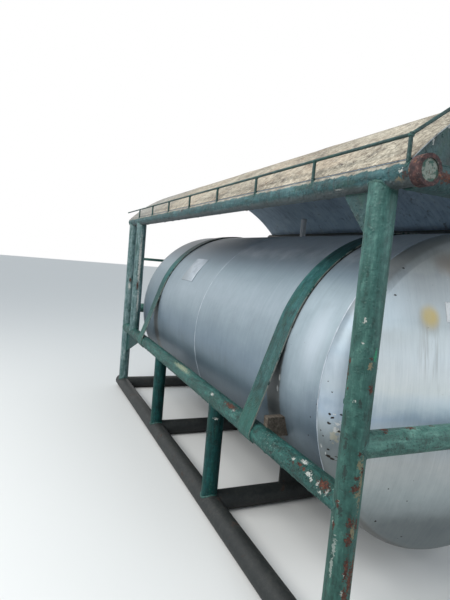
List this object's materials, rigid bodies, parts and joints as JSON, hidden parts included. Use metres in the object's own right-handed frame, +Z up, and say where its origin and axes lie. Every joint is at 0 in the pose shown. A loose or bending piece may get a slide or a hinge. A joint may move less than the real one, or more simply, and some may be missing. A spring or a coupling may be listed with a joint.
{
  "type": "horizontal pressure tank",
  "caption": "Horizontal steel tank with dished heads, strapped on saddles in a welded pipe frame that stands on round runners under a curved sheet roof.",
  "frame": {"origin": "on the floor, under the middle of the frame: the bottom centre of the bounding box", "axes": "+X along the tank towards the closed gable end, +Y towards the back, +Z up"},
  "size_m": [4.93, 2.176, 2.7054],
  "materials": {
    "tank_steel": "dull silver, streaked and weathered",
    "frame_paint": "brushed-on green paint, chipped to rust and primer",
    "roof_sheet": "faded beige paint, flaking",
    "base_steel": "black, dirty and rusty",
    "cap_steel": "heavily rusted",
    "strap_liner": "matt",
    "timber": "weathered"
  },
  "bodies": {
    "root": {"shell_near": "tank_steel", "shell_far": "tank_steel", "near_head": "tank_steel", "far_head": "tank_steel", "top_stub": "tank_steel", "near_strap": "frame_paint", "far_strap": "frame_paint", "near_liner": "strap_liner", "far_liner": "strap_liner", "near_saddle": "base_steel", "far_saddle": "base_steel", "timber_chocks": "timber", "front_side_rail": "frame_paint", "back_side_rail": "frame_paint", "near_end_rail": "frame_paint", "far_end_rail": "frame_paint", "near_front_post": "frame_paint", "near_back_post": "frame_paint", "far_front_post": "frame_paint", "far_back_post": "frame_paint", "inner_posts": "frame_paint", "front_legs": "frame_paint", "back_legs": "frame_paint", "far_tie_rod": "frame_paint", "front_runner": "base_steel", "back_runner": "base_steel", "runner_end_plates": "base_steel", "base_cross_pipes": "base_steel", "front_eave_pipe": "frame_paint", "back_eave_pipe": "frame_paint", "eave_caps": "cap_steel", "gable_beam": "frame_paint", "gable_plate": "frame_paint", "roof_sheet_1": "roof_sheet", "roof_sheet_2": "roof_sheet", "roof_sheet_3": "roof_sheet", "roof_sheet_4": "roof_sheet", "front_tie_rail": "frame_paint", "back_tie_rail": "frame_paint", "gable_tie_rail": "frame_paint", "front_uprights": "frame_paint", "back_uprights": "frame_paint", "eave_gussets": "frame_paint", "rail_gussets": "frame_paint"}
  },
  "joints": []
}
